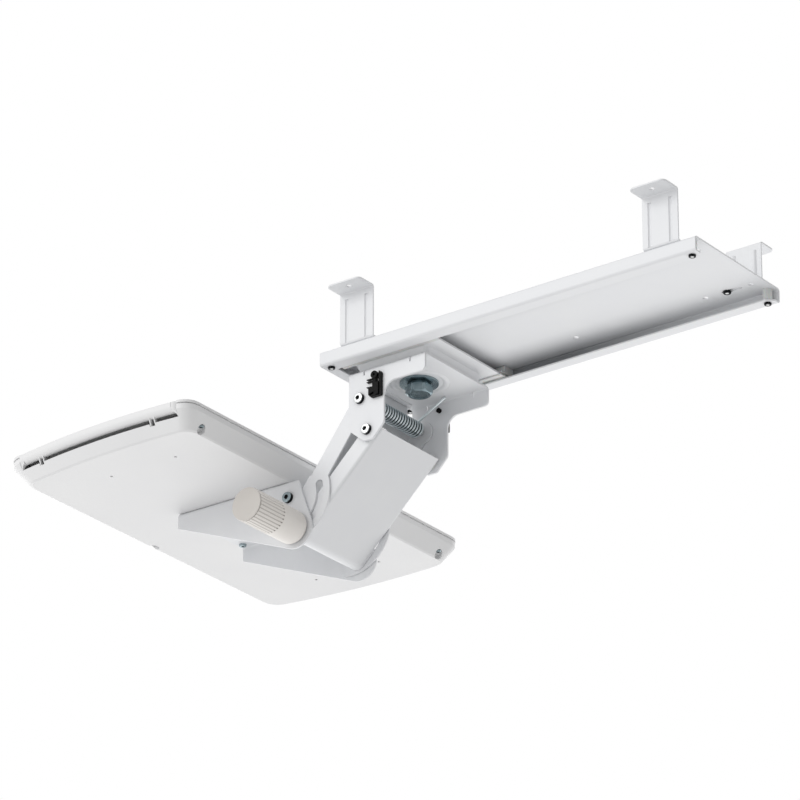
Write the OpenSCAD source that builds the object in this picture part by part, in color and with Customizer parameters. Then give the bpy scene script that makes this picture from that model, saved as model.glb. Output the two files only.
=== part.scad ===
// Keyboard tray that hangs under a desk: a track on four spacer brackets, a sliding carriage,
// a swivelling head, a parallelogram arm with a clamp knob, and a moulded tray.
// +X is the user's right, +Y is the back of the desk, +Z is up.
// The origin is the centre of the four desk screws, on the plane that meets the desk.

/* [Desk mount] */
// Distance between the desk screws across the track
mount_x = 218; // [214:1:228]
// Hole for a desk screw
mount_hole_d = 6.5; // [4.5:0.1:8]
// Drop from the desk to the top of the track
drop = 71; // [50:1:110]
// Width of a spacer bracket along the track
bracket_w = 51; // [44:1:60]
// Sheet of a spacer bracket
bracket_t = 2; // [1.8:0.1:3]
// Distance from the desk screw to the tip of the flange
flange_edge = 13.5; // [10:0.5:20]
// Length of the foot on the track, from the leg inward
foot_l = 48; // [44:1:56]
// Diameter of the foot screws
foot_screw_d = 6; // [5:0.5:6.5]

/* [Track] */
// Length of the track
track_l = 560; // [540:1:700]
// Width of the track
track_w = 186; // [182:1:192]
// Height of the track's side walls
track_h = 20; // [19:0.5:24]
// Sheet of the track
track_t = 2; // [1.6:0.1:2.5]
// Width of the inward lips, with the wall
lip_w = 19; // [17:0.5:22]
// Depth of the bottom lip that closes the front end
front_lip = 14; // [10:0.5:18]
// Distance from the front end to the front desk screws
front_overhang = 57; // [45:1:62]
// Distance from the rear end to the rear desk screws
rear_overhang = 49; // [42:1:60]
// Diameter of the stop bumpers
bumper_d = 12; // [10:0.5:14]

/* [Carriage] */
// Length of the two glides
glide_l = 148; // [130:1:170]
// Thickness of the carriage plate
carriage_t = 2.5; // [2:0.1:3]
// Depth of the tub pressed into the carriage plate
tub_drop = 8; // [6:0.5:10]
// Length of the tub along the track
tub_l = 112; // [90:1:116]
// Width of the tub across the track
tub_w = 122; // [96:1:128]
// Thickness of the swivel bearing disc
bearing_t = 3.9; // [3:0.1:5]
// Diameter of the swivel bearing disc
bearing_d = 76; // [60:1:86]
// Diameter of the swivel bolt
swivel_d = 20; // [16:1:22]
// Width across the flats of the swivel bolt's head
swivel_af = 30; // [28:1:34]
// Height of the swivel bolt's head
swivel_head_h = 14.5; // [9:0.5:16]
// Diameter of the swivel washer
swivel_washer_d = 49; // [40:1:52]

/* [Head] */
// Width over the two cheeks
head_w = 136; // [130:1:142]
// Length of the head's top plate
head_l = 117; // [110:1:124]
// Sheet of the head
head_t = 3; // [2.5:0.1:3.5]
// Depth of a cheek behind the arm
cheek_tail_h = 25; // [20:0.5:30]
// Height of a cheek at the arm
cheek_h = 97; // [96:0.5:106]
// Length of a cheek at the arm
cheek_l = 54; // [52:0.5:60]
// Diameter of the ring bead round the swivel bolt
bead_d = 68; // [60:1:74]
// Depth of the stiffening flange along the head's front
front_flange = 15; // [8:0.5:16]
// Diameter of the pivot bolts and of the clamp stud
pivot_d = 8; // [6:0.5:9]
// Running clearance of a pivot, on the radius
pivot_gap = 0.05; // [0.02:0.01:0.09]

/* [Arm] */
// Distance between the two pivots of a link
link_l = 153; // [146:1:160]
// Angle of the arm below level, in the stored pose
link_angle = 43.8; // [42:0.2:46]
// Sheet of the links
link_t = 2.5; // [2:0.1:2.5]
// Radius of the upper link's sector
sector_r = 61; // [57:0.5:62]
// Width of the curved slot in the sector, over the stud
slot_over = 3; // [0.6:0.1:4]
// Lift that the curved slot leaves to the clamp stud, in degrees
slot_travel = 87; // [60:1:88]
// Turn of the upper link's strip away from its pivot line
strip_turn = 9.5; // [6:0.5:11]
// Distance of the strip's front edge from the upper pivot
strip_front = 15.5; // [14:0.5:16.5]
// Distance of the strip's rear edge from the upper pivot
strip_rear = 11; // [9:0.5:12]
// Distance of the lower link's web from its pivots
web_rear = 12.5; // [11.5:0.5:14]
// Distance of the lower link's flange edge from its pivots
flange_front = 10.7; // [10:0.1:12]

/* [Spring] */
// Wire of the torsion spring
wire_d = 3.6; // [3:0.1:4]
// Mean diameter of the coils
coil_d = 18.4; // [16:0.2:20]
// Number of coils
coils = 20; // [12:1:22]
// Distance from one coil to the next
coil_pitch = 5.2; // [4.6:0.1:5.4]

/* [Tray] */
// Width of the tray at its middle
tray_w = 574; // [520:1:640]
// Depth of the tray at the rim
tray_d = 303; // [280:1:330]
// Height of the tray
tray_h = 34; // [30:0.5:38]
// Radius of the bowed sides
side_r = 1000; // [700:10:1600]
// Wall of the tray shell
wall = 3; // [2.4:0.1:4]
// Thickness of the top board at its edge
board_t = 3.2; // [2.8:0.1:4]
// Height of the groove between the top board and the shell
groove_h = 1.4; // [1:0.1:2]
// Draft of the side walls, measured on the width
side_draft = 17; // [12:0.5:20]
// Draft of the rear wall
rear_draft = 11.5; // [8:0.5:16]
// Draft of the front wall
front_draft = 18; // [10:0.5:22]
// Height of a side rail
rail_h = 13; // [11:0.1:14]
// Thickness of a side rail
rail_t = 9; // [7:0.5:10]
// Height of the slot under a side rail
slot_h = 6; // [5:0.1:7]
// Sheet of the tray bracket
fin_t = 3; // [2.5:0.1:3.5]
// Length of the fins in front of the clamp stud
fin_l = 187; // [170:1:210]
// Height of the fins at their front end
fin_tip_h = 20.7; // [16:0.1:24]

/* [Knob] */
// Diameter of the knob
knob_d = 44; // [38:0.5:48]
// Length of the knob
knob_l = 97; // [80:1:110]
// Length of the fluted grip
flute_l = 50; // [40:1:60]
// Number of flutes
flutes = 30; // [20:1:36]
// Thickness of the cap on the knob's end
cap_t = 1.4; // [1:0.1:3]

/* [Hidden] */
$fn = 64;
face = 0.05;
run = 0.1;
bolt_head_d = 14;
bolt_head_h = 5.2;
socket_d = 5.8;
socket_depth = 3;
nut_af = 13;
nut_h = 6.4;
bend = 3;
clip_t = 5;
flange_x = 51;
relief_r = 3;
strip_w = 7;
strip_t = 1.4;

// Distance between the desk screws along the track
mount_y = track_l - front_overhang - rear_overhang;

// Levels, all from the desk down
track_top = -drop;
track_low = track_top - track_h;
lip_top = track_low + track_t;
track_y0 = -mount_y / 2 - front_overhang;
track_y1 = track_y0 + track_l;
foot_x = track_w / 2 - 35;
leg_x = track_w / 2;
stop_x = track_w / 2 - 10;
stop_inset = 11;

// Carriage at the front stop
bumper_r = bumper_d / 2;
glide_y0 = track_y0 + stop_inset + bumper_r + 0.5;
glide_y1 = glide_y0 + glide_l;
swivel_y = glide_y0 + 68;
plate_low = lip_top + 2;
plate_top = plate_low + carriage_t;
tub_low = plate_low - tub_drop;
head_top = tub_low - bearing_t - run;
washer_top = head_top - head_t - run;
washer_t = 2.5;
swivel_neck_h = 2.6;
glide_in = track_w / 2 - 29;
glide_mid = track_w / 2 - 21;
glide_out = track_w / 2 - track_t - 0.5;
glide_lip = track_w / 2 - lip_w;
plate_x = glide_out - 5;

// Pivots of the arm, as [y, z]
up_p = [swivel_y - 41.5, head_top - 38.6];
low_p = up_p + [11, -44.5];
link_v = [-link_l * cos(link_angle), -link_l * sin(link_angle)];
fin_p = up_p + link_v;
stud_p = low_p + link_v;
slot_r = norm(low_p - up_p);
stud_angle = atan2(stud_p[1] - fin_p[1], stud_p[0] - fin_p[0]);
strip_angle = link_angle + strip_turn;

// Faces across the arm, from the outside in
cheek_in = head_w / 2 - head_t;
upper_out = cheek_in - 0.7;
upper_in = upper_out - link_t;
lower_out = upper_in - 0.7;
lower_in = lower_out - link_t;
fin_out = cheek_in + fin_t;

// Tray, from the clamp stud
rear_y = stud_p[0] + 0.4;
front_y = rear_y - tray_d;
bow_y = rear_y - 95;
tray_low = stud_p[1] + 67.7;
rim = tray_low + tray_h;
shell_top = rim - board_t - groove_h;
rail_y0 = front_y + 23;
rail_y1 = rear_y - 19;
slot_top = rim - rail_h;
slot_low = slot_top - slot_h;
bow_x = tray_w / 2 - side_r;
post_w = 9;
post_t = 1.5;
seat_h = 2.6;
hole_x = 210;
bracket_screw_x = 54;
well_x = tray_w / 2 - 41;
well_y = rear_y - rear_draft + 2;
mid_well_y = front_y + front_draft + 2;
well_r = 6.6;
well_z = 5;
screw_z = 11;
band_h = 6.5;
band_inset = 0.6;

knob_x0 = fin_out + 2;
insert_l = 34;
insert_r = 6;
flute_r = 1;
cap_gap = 1;
fin_r = 25.5;

// A plate or prism along X, drawn as an outline in Y and Z
module along_x(x0, x1) {
    translate([x0, 0, 0]) rotate([90, 0, 90]) linear_extrude(x1 - x0) children();
}

// The same outline on both cheeks of the arm
module both_sides(inner, outer) {
    along_x(inner, outer) children();
    along_x(-outer, -inner) children();
}

// A prism along Y, drawn as an outline in X and Z
module along_y(y0, y1) {
    translate([0, y1, 0]) rotate([90, 0, 0]) linear_extrude(y1 - y0) children();
}

// A round bar along X at a point [y, z]
module rod(x0, x1, r, p) {
    translate([x0, p[0], p[1]]) rotate([0, 90, 0]) cylinder(h = x1 - x0, r = r);
}

// A hexagon bar along X, across its flats
module hex_rod(x0, x1, af, p) {
    translate([x0, p[0], p[1]]) rotate([0, 90, 0]) cylinder(h = x1 - x0, r = af / sqrt(3), $fn = 6);
}

// Points of an arc, from angle a to angle b
function arc(c, r, a, b, n) =
    [for (i = [0 : n]) let (w = a + (b - a) * i / n) c + r * [cos(w), sin(w)]];

// Unit vector from p to q
function unit(p, q) = (q - p) / norm(q - p);

// One rounded corner of a path: the arc that joins the legs before and after point b
function corner(a, b, c, r, n) =
    let (u = unit(b, a), v = unit(b, c), half = acos(max(-1, min(1, u * v))) / 2)
    r == 0 || half > 89.5 ? [b] :
    let (d = r / tan(half), m = b + (u + v) / norm(u + v) * r / sin(half))
    let (s = b + u * d - m, t = b + v * d - m)
    let (a0 = atan2(s[1], s[0]), turn = atan2(s[0] * t[1] - s[1] * t[0], s * t))
    arc(m, r, a0, a0 + turn, n);

// A closed outline with each corner rounded by its own radius
function rounded(pts, radii, n = 8) =
    let (k = len(pts))
    [for (i = [0 : k - 1]) each corner(pts[(i + k - 1) % k], pts[i], pts[(i + 1) % k], radii[i], n)];

// An open path with its inner corners rounded by one radius
function bent(pts, r, n = 8) =
    let (k = len(pts))
    [
        for (i = [0 : k - 1])
            each (i == 0 || i == k - 1 ? [pts[i]] : corner(pts[i - 1], pts[i], pts[i + 1], r, n))
    ];

// Unit normal of an open path at its point i
function side_of(path, i) =
    let (k = len(path), a = path[max(0, i - 1)], b = path[min(k - 1, i + 1)], u = unit(a, b))
    [-u[1], u[0]];

// Outline of a folded sheet: the path is its middle line
function sheet(pts, r, t) =
    let (path = bent(pts, r), k = len(path))
    concat(
        [for (i = [0 : k - 1]) path[i] + side_of(path, i) * t / 2],
        [for (i = [k - 1 : -1 : 0]) path[i] - side_of(path, i) * t / 2]
    );

// Track: one folded sheet, open downwards, with lips turned in
module track_channel() {
    x = track_w / 2 - track_t / 2;
    path = [
        [x - lip_w + track_t / 2, track_low + track_t / 2], [x, track_low + track_t / 2],
        [x, track_top - track_t / 2], [-x, track_top - track_t / 2],
        [-x, track_low + track_t / 2], [-x + lip_w - track_t / 2, track_low + track_t / 2]
    ];
    color("#e6e7e9") difference() {
        union() {
            along_y(track_y0, track_y1) polygon(sheet(path, bend, track_t));
            translate([-x + bend, track_y0, track_low + 1])
                cube([2 * x - 2 * bend, track_t, track_h - 2]);
            translate([-x + bend, track_y0, track_low]) cube([2 * x - 2 * bend, front_lip, track_t]);
        }
        for (sx = [-1, 1]) {
            for (y = foot_ys()) {
                translate([sx * foot_x, y, track_top - track_t - 1])
                    rotate([0, 0, 90]) translate([-7, 0, 0]) oblong(28, foot_screw_d + 1, track_t + 2);
            }
            for (y = adjust_holes()) {
                translate([sx * foot_x, y, track_top - track_t - 1])
                    cylinder(h = track_t + 2, r = foot_screw_d / 2 + 0.4);
            }
            for (y = stop_ys()) {
                translate([sx * stop_x, y, track_low - 1]) cylinder(h = track_t + 2, r = 2.6);
            }
            lip_corner(sx);
        }
    }
}

// The lips' rear corners are cut off at a slant
module lip_corner(sx) {
    x = track_w / 2 - lip_w;
    translate([0, 0, track_low - 1]) linear_extrude(track_t + 1.5)
        polygon([[sx * (x - 1), track_y1 - 10], [sx * (x + 9), track_y1 + 1], [sx * (x - 1), track_y1 + 1]]);
}

function foot_ys() = [-mount_y / 2 - 4, mount_y / 2 - 4];
function adjust_holes() = [
    mount_y / 2 + 30, mount_y / 2 - 35, 0, -mount_y / 2 + 35, -mount_y / 2 - 30
];
function stop_ys() = [track_y0 + stop_inset, track_y1 - stop_inset];

// Z spacer bracket, right-hand side, for the desk screw at y
module bracket(y) {
    t2 = bracket_t / 2;
    x = leg_x - t2;
    tip = mount_x / 2 + flange_edge;
    path = [[tip, -t2], [x, -t2], [x, track_top + t2], [leg_x - foot_l, track_top + t2]];
    outline = rounded(
        [
            [leg_x - foot_l, y - bracket_w / 2], [tip, y - bracket_w / 2],
            [tip, y + bracket_w / 2], [leg_x - foot_l, y + bracket_w / 2]
        ],
        [6, 7, 7, 6]
    );
    color("#eceded") difference() {
        union() {
            intersection() {
                along_y(y - bracket_w / 2, y + bracket_w / 2) polygon(sheet(path, 2.2, bracket_t));
                translate([0, 0, track_top - 1]) linear_extrude(drop + 2) polygon(outline);
            }
            for (s = [-1, 1]) groove(y + s * (bracket_w / 2 - 10.5), 2.6 + bracket_t, 0);
        }
        for (s = [-1, 1]) groove(y + s * (bracket_w / 2 - 10.5), 2.6, 1);
        translate([mount_x / 2, y, -bracket_t - 1]) cylinder(h = bracket_t + 2, r = mount_hole_d / 2);
        translate([foot_x, y - 4, track_top - 1]) cylinder(h = bracket_t + 2, r = foot_screw_d / 2 + face);
    }
}

// Stiffening groove pressed inwards in a bracket's leg
module groove(y, r, extra) {
    intersection() {
        translate([leg_x + 0.6, y, track_top + bracket_t]) cylinder(h = drop - 12, r = r);
        translate([leg_x - 20 * extra - r, y - r, track_top + bracket_t])
            cube([r + 20 * extra + (extra > 0 ? 5 : -face), 2 * r, drop - 12]);
    }
}

module bracket_front_right() { bracket(-mount_y / 2); }
module bracket_front_left() { mirror([1, 0, 0]) bracket(-mount_y / 2); }
module bracket_rear_right() { bracket(mount_y / 2); }
module bracket_rear_left() { mirror([1, 0, 0]) bracket(mount_y / 2); }

// Screws up through the track and the feet, heads inside the track
module foot_screws() {
    color("#8d9a9d") for (sx = [-1, 1], y = foot_ys()) translate([sx * foot_x, y, 0]) difference() {
        union() {
            translate([0, 0, track_top - track_t - 2.8]) cylinder(h = 2.8, r = 5);
            translate([0, 0, track_top - track_t])
                cylinder(h = track_t + bracket_t + 7, r = foot_screw_d / 2);
        }
        translate([0, 0, track_top - track_t - 3.8]) cylinder(h = 2.8, r = 2.3, $fn = 6);
    }
}

module foot_nuts() {
    color("#8d9a9d") for (sx = [-1, 1], y = foot_ys()) {
        translate([sx * foot_x, y, track_top + bracket_t]) difference() {
            cylinder(h = 5, r = 10 / sqrt(3), $fn = 6);
            translate([0, 0, -1]) cylinder(h = 7, r = foot_screw_d / 2 + face);
        }
    }
}

// Rollers between the top plate and the lips, where the glides stop
module stop_bumpers() {
    color("#d9dadb") for (sx = [-1, 1], y = stop_ys()) {
        translate([sx * stop_x, y, lip_top]) difference() {
            cylinder(h = track_h - 2 * track_t, r = bumper_r);
            translate([0, 0, -1]) cylinder(h = track_h - 5, r = 2.5 + face);
        }
    }
}

module stop_screws() {
    color("#8d9a9d") for (sx = [-1, 1], y = stop_ys()) translate([sx * stop_x, y, 0]) difference() {
        union() {
            translate([0, 0, track_low - 2.6]) cylinder(h = 2.6, r = 4.6);
            translate([0, 0, track_low]) cylinder(h = track_h - 2 * track_t - 4, r = 2.5);
        }
        translate([0, 0, track_low - 3.6]) cylinder(h = 2.6, r = 1.9, $fn = 6);
    }
}

// Rounded rectangle slab, centred on the swivel axis
module slab(w, l, r, z, h) {
    translate([0, swivel_y, z]) linear_extrude(h) polygon(
        rounded([[-w / 2, -l / 2], [w / 2, -l / 2], [w / 2, l / 2], [-w / 2, l / 2]], [r, r, r, r])
    );
}

// Carriage: a flat plate in the glides with a tub pressed down through the track's mouth
module carriage_plate() {
    plate_y0 = glide_y0 + 15;
    plate_l = glide_y1 - 3 - plate_y0;
    slope = 2 * tub_drop;
    color("#dfe0e2") difference() {
        union() {
            translate([-plate_x, plate_y0, plate_low]) cube([2 * plate_x, plate_l, carriage_t]);
            hull() {
                slab(tub_w, tub_l, 10, plate_low, 0.1);
                slab(tub_w - slope / 2, tub_l - slope / 2, 8, tub_low, 0.1);
            }
        }
        hull() {
            slab(tub_w - 4, tub_l - 4, 8, plate_top, 0.1);
            slab(tub_w - slope / 2 - 4, tub_l - slope / 2 - 4, 6, tub_low + carriage_t, 0.1);
        }
        translate([0, swivel_y, tub_low - 1]) cylinder(h = carriage_t + 2, r = swivel_d / 2 + face);
    }
}

// Glide: a plastic rail with a groove that grips the edge of the carriage plate
module glide(sx) {
    top = track_top - track_t - 0.2;
    outline = rounded(
        [
            [glide_in, lip_top + run], [glide_lip - 4, lip_top + run],
            [glide_lip - 4, lip_top + run + 1.3], [glide_lip + 1, lip_top + run + 1.3],
            [glide_lip + 1, lip_top + run], [glide_out, lip_top + run], [glide_out, top],
            [glide_mid, top], [glide_mid, plate_top + 1.6], [glide_in, plate_top + 1.6]
        ],
        [0.8, 0, 0, 0, 0, 2.6, 2.6, 1.2, 0, 0.8]
    );
    color("#f2f2f0") mirror([sx < 0 ? 1 : 0, 0, 0]) difference() {
        along_y(glide_y0, glide_y1) polygon(outline);
        translate([glide_in - 1, glide_y0 + 15 - face, plate_low - face])
            cube([plate_x + face - glide_in + 1, glide_l, carriage_t + 2 * face]);
        for (k = [1 : 4]) {
            y = glide_y0 + 15 + k * (glide_l - 30) / 5;
            translate([(glide_mid + glide_out) / 2 + 2, y, plate_top + 3]) cylinder(h = track_h, r = 3.2);
        }
    }
}

module glide_right() { glide(1); }
module glide_left() { glide(-1); }

module swivel_bearing() {
    color("#efefec") translate([0, swivel_y, tub_low - bearing_t]) difference() {
        cylinder(h = bearing_t, r = bearing_d / 2);
        translate([0, 0, -1]) cylinder(h = bearing_t + 2, r = swivel_d / 2 + 0.3);
    }
}

// Bolt that carries the head, with a dished hexagon head below
module swivel_bolt() {
    low = washer_top - washer_t - swivel_head_h;
    top = tub_low + carriage_t + 8.5;
    hex_h = swivel_head_h - swivel_neck_h;
    corner_r = swivel_af / sqrt(3);
    color("#7e8e93") translate([0, swivel_y, low]) difference() {
        union() {
            intersection() {
                cylinder(h = hex_h, r = corner_r, $fn = 6);
                rotate_extrude() polygon([
                    [0, 0], [swivel_af / 2 - 1, 0], [corner_r, 2.4],
                    [corner_r, hex_h - 1.2], [swivel_af / 2 - 0.4, hex_h], [0, hex_h]
                ]);
            }
            translate([0, 0, hex_h]) cylinder(h = swivel_neck_h, r = swivel_d / 2 + 1.5);
            translate([0, 0, swivel_head_h]) cylinder(h = top - low - swivel_head_h, r = swivel_d / 2);
        }
        translate([0, 0, -1]) cylinder(h = 1.6, r = swivel_af / 2 - 4.5);
    }
}

module swivel_nut() {
    color("#7e8e93") translate([0, swivel_y, tub_low + carriage_t]) difference() {
        cylinder(h = 7, r = swivel_af / sqrt(3), $fn = 6);
        translate([0, 0, -1]) cylinder(h = 9, r = swivel_d / 2 + face);
    }
}

module swivel_washer() {
    color("#7e8e93") translate([0, swivel_y, washer_top - washer_t]) difference() {
        cylinder(h = washer_t, r = swivel_washer_d / 2);
        translate([0, 0, -1]) cylinder(h = washer_t + 2, r = swivel_d / 2 + face);
    }
}

// Outline of the head seen from the side: a long top with a deep cheek at the arm
function cheek_outline() =
    let (y0 = swivel_y - head_l / 2, y1 = swivel_y + head_l / 2, y2 = y0 + cheek_l)
    rounded(
        [
            [y0, head_top], [y1, head_top], [y1, head_top - cheek_tail_h],
            [y2, head_top - cheek_tail_h - 0.5], [y2, head_top - cheek_h + 18],
            [y2 - 17.5, head_top - cheek_h], [y0 + 22.5, head_top - cheek_h],
            [y0, head_top - cheek_h + 19]
        ],
        [0, 0, 6, 16, 8, 6, 8, 10]
    );

// Head: one folded sheet, a top plate with two cheeks
module head_bracket() {
    x = head_w / 2 - head_t / 2;
    y0 = swivel_y - head_l / 2;
    low = head_top - cheek_h - 1;
    plate = [[-x, low], [-x, head_top - head_t / 2], [x, head_top - head_t / 2], [x, low]];
    color("#e3e4e6") difference() {
        union() {
            intersection() {
                along_y(y0 - 1, y0 + head_l + 1) polygon(sheet(plate, 4, head_t));
                along_x(-head_w / 2 - 1, head_w / 2 + 1) polygon(cheek_outline());
            }
            front_flange(y0);
            ring_bead();
        }
        translate([0, swivel_y, head_top - head_t - 4]) cylinder(h = head_t + 6, r = swivel_d / 2 + 0.08);
        for (p = [up_p, low_p]) rod(-head_w, head_w, pivot_d / 2 + face, p);
        rod(-head_w, head_w, 2.6, clip_p());
        for (sx = [-1, 1], y = [y0 + 23.5, y0 + 94.3]) {
            translate([sx * x - 3, y - 1.1, head_top - 8.5]) cube([6, 2.2, 10]);
        }
        for (sx = [-1, 1]) {
            translate([sx * (flange_x + relief_r - 0.4), y0 + 2.2, low])
                cylinder(h = cheek_h + 2, r = relief_r);
        }
    }
}

// Long hole with round ends, along X
module oblong(l, d, h) {
    translate([d / 2, 0, 0]) cylinder(h = h, r = d / 2);
    translate([l - d / 2, 0, 0]) cylinder(h = h, r = d / 2);
    translate([d / 2, -d / 2, 0]) cube([l - d, d, h]);
}

// Flange folded down along the front of the top plate, with a raised strip and a crease behind it
module front_flange(y0) {
    path = [
        [y0 + 8, head_top - head_t / 2], [y0 + head_t / 2, head_top - head_t / 2],
        [y0 + head_t / 2, head_top - front_flange]
    ];
    along_x(-flange_x, flange_x) polygon(sheet(path, head_t / 2 + 0.5, head_t));
    y = y0 + head_t + 1.4;
    low = head_top - head_t;
    along_x(-flange_x + 2, flange_x - 2) polygon(rounded(
        [[y, low + 1], [y, low - strip_t], [y + strip_w, low - strip_t], [y + strip_w + 0.6, low + 1]],
        [0, 0.4, 1, 0]
    ));
}

// Ring bead pressed down round the swivel bolt, domed in section
module ring_bead() {
    half = 4;
    rise = 1.8;
    r = (half * half + rise * rise) / (2 * rise);
    translate([0, swivel_y, head_top - head_t]) rotate_extrude($fn = 96)
        translate([bead_d / 2, 0]) intersection() {
            translate([0, r - rise]) circle(r = r);
            translate([-half - 1, -rise - 1]) square([2 * half + 2, rise + 1.5]);
        }
}

function clip_p() = [swivel_y - 15.7, head_top - 14.2];

// Low-head bolt along X with a hexagon socket, its head outside x
module bolt(x, x_end, p) {
    difference() {
        union() {
            translate([x, p[0], p[1]]) rotate([0, 90, 0]) rotate_extrude() polygon([
                [0, 0], [bolt_head_d / 2, 0], [bolt_head_d / 2, bolt_head_h - 1.2],
                [bolt_head_d / 2 - 1.2, bolt_head_h], [0, bolt_head_h]
            ]);
            rod(x_end, x, pivot_d / 2, p);
        }
        hex_rod(x + bolt_head_h - socket_depth, x + bolt_head_h + 1, socket_d, p);
    }
}

module lock_nut(x, p) {
    difference() {
        union() {
            hex_rod(x - nut_h, x, nut_af, p);
            rod(x - nut_h - 1.6, x - nut_h, nut_af / 2 - 0.8, p);
        }
        rod(x - nut_h - 3, x + 1, pivot_d / 2 + face, p);
    }
}

module upper_pivot_bolt() {
    color("#d5d8da") bolt(head_w / 2, -head_w / 2 - nut_h - 2, up_p);
}

module lower_pivot_bolt() {
    color("#d5d8da") bolt(head_w / 2, -head_w / 2 - nut_h - 2, low_p);
}

module pivot_nuts() {
    color("#8d9a9d") {
        lock_nut(-head_w / 2, up_p);
        lock_nut(-head_w / 2, low_p);
    }
}

// Nylon sleeve on the upper pivot bolt, inside the spring
module spring_sleeve() {
    r = coil_d / 2 * cos(180 / curl_steps) - wire_d / 2 - 0.3;
    sleeve_x = coils * coil_pitch / 2 + wire_d / 2 - 1;
    color("#efefec") difference() {
        rod(-sleeve_x, sleeve_x, r, up_p);
        rod(-head_w, head_w, pivot_d / 2 + face, up_p);
    }
}

// Torsion spring as one wire: a leg to the head's top plate, the coils, a leg to the upper link's web
function coil_x(a) = -coils * coil_pitch / 2 + a / 360 * coil_pitch;
function coil_at(a, start) =
    let (w = start - a)
    [coil_x(a), up_p[0] + coil_d / 2 * cos(w), up_p[1] + coil_d / 2 * sin(w)];
spring_seat = 0.2;
curl_steps = 8;
leg_rise = 28;
leg_start = 90 + leg_rise;
leg_top_z = head_top - head_t - wire_d / 2 - spring_seat;
leg_top_l = (leg_top_z - up_p[1] - coil_d / 2 * sin(leg_start)) / sin(leg_rise);
leg_low_l = 30;
leg_low_out = strip_front - link_t - wire_d / 2 - spring_seat;
leg_low_angle = strip_angle + 180 - asin((leg_low_out - coil_d / 2) / leg_low_l);
spring_turn = coils * 360 - 360 + (leg_start - leg_low_angle - 90 + 720) % 360;

function wire_path() =
    let (n = ceil(spring_turn * curl_steps / 360))
    let (first = coil_at(0, leg_start), last = coil_at(spring_turn, leg_start))
    let (a = leg_start - spring_turn)
    concat(
        [first + leg_top_l * [0, cos(leg_rise), sin(leg_rise)]],
        [for (i = [0 : n]) coil_at(spring_turn * i / n, leg_start)],
        [last + leg_low_l * [0, sin(a), -cos(a)]]
    );

// Ring of the wire round path point i, square to the path
function wire_ring(path, i, sides) =
    let (k = len(path), d = unit(path[max(0, i - 1)], path[min(k - 1, i + 1)]))
    let (u = unit([0, 0, 0], cross(d, [1, 0.01, 0.02])), v = cross(d, u))
    [for (s = [0 : sides - 1]) path[i] + wire_d / 2 * (u * cos(360 * s / sides) + v * sin(360 * s / sides))];

module torsion_spring() {
    path = wire_path();
    sides = 6;
    n = len(path);
    rings = [for (i = [0 : n - 1]) wire_ring(path, i, sides)];
    points = [for (ring = rings) each ring];
    walls = [
        for (i = [0 : n - 2], s = [0 : sides - 1])
            let (a = i * sides + s, b = i * sides + (s + 1) % sides)
            each [[a, b, b + sides], [a, b + sides, a + sides]]
    ];
    ends = [
        for (s = [1 : sides - 2])
            each [[0, s + 1, s], [(n - 1) * sides, (n - 1) * sides + s, (n - 1) * sides + s + 1]]
    ];
    gap = min([
        for (i = [1 : n - 11], j = [i + 5 : i + 9], p = rings[i], q = rings[j]) norm(p - q)
    ]);
    echo(str("least gap of the spring to itself: ", gap));
    color("#8fa0a4") polyhedron(points = points, faces = concat(walls, ends));
}

// Clip for the keyboard's cable on a cheek's outer face: a spine, a hollow boss, two fins and a hook
module cable_clip(sx) {
    p = clip_p();
    x = head_w / 2;
    spine = rounded(
        [
            [-3.2, -10.5], [6.8, -10.5], [6.8, 3.4], [9.8, 3.4], [9.8, -29.3],
            [-5.6, -29.3], [-9.3, -25.5], [-9.3, -17.5], [-13, -14.4], [-3.2, -15.2]
        ],
        [0.5, 1, 0.5, 2.4, 1.2, 0.8, 0.8, 0.4, 0.3, 0.3]
    );
    color("#17181a") mirror([sx < 0 ? 1 : 0, 0, 0]) {
        difference() {
            union() {
                along_x(x, x + clip_t) translate(p) polygon(spine);
                along_x(x, x + clip_t + 1.6) translate(p) polygon(
                    [[2.2, -11.5], [7, -11.5], [7, -28], [2.2, -28]]
                );
                along_x(x, x + clip_t) translate(p) polygon([[-3, -11], [1.8, -11], [2.4, -2], [-2, -2]]);
                for (z = [-4.6, -8]) {
                    along_x(x, x + clip_t - 1) translate(p + [-12.6, z]) square([10.6, 1]);
                }
                rod(x, x + clip_t + 1, 5, p);
            }
            rod(x + 2, x + clip_t + 3, 1.6, p);
            along_x(x + 1.6, x + clip_t + 3) translate(p) polygon([
                [-8, -24.5], [-1, -22.5], [-1, -25.5], [-7, -27]
            ]);
        }
        rod(cheek_in - 2, x, 2.5, p);
        rod(cheek_in - 3.6, cheek_in - face, 3.2, p);
    }
}

module cable_clip_right() { cable_clip(1); }
module cable_clip_left() { cable_clip(-1); }

// Side view of the upper link: a strip from the head to the fins and a sector with a curved slot
module upper_outline() {
    d = [-cos(strip_angle), -sin(strip_angle)];
    n = [-sin(strip_angle), cos(strip_angle)];
    l = link_l - 16;
    difference() {
        union() {
            translate(up_p) circle(r = strip_front);
            polygon([
                up_p + n * strip_front, up_p - n * strip_rear,
                up_p + d * l - n * strip_rear, up_p + d * l + n * strip_front
            ]);
            intersection() {
                translate(fin_p) circle(r = sector_r, $fn = 128);
                translate(fin_p) wedge(-101, 24, 1.4 * sector_r);
            }
            translate(fin_p) circle(r = 17);
        }
        translate(fin_p) arc_slot();
    }
}

// Wedge from angle a to angle b about the origin, reaching past radius r
module wedge(a, b, r) {
    polygon(concat([[0, 0]], arc([0, 0], r / cos((b - a) / 8), a, b, 4)));
}

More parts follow.
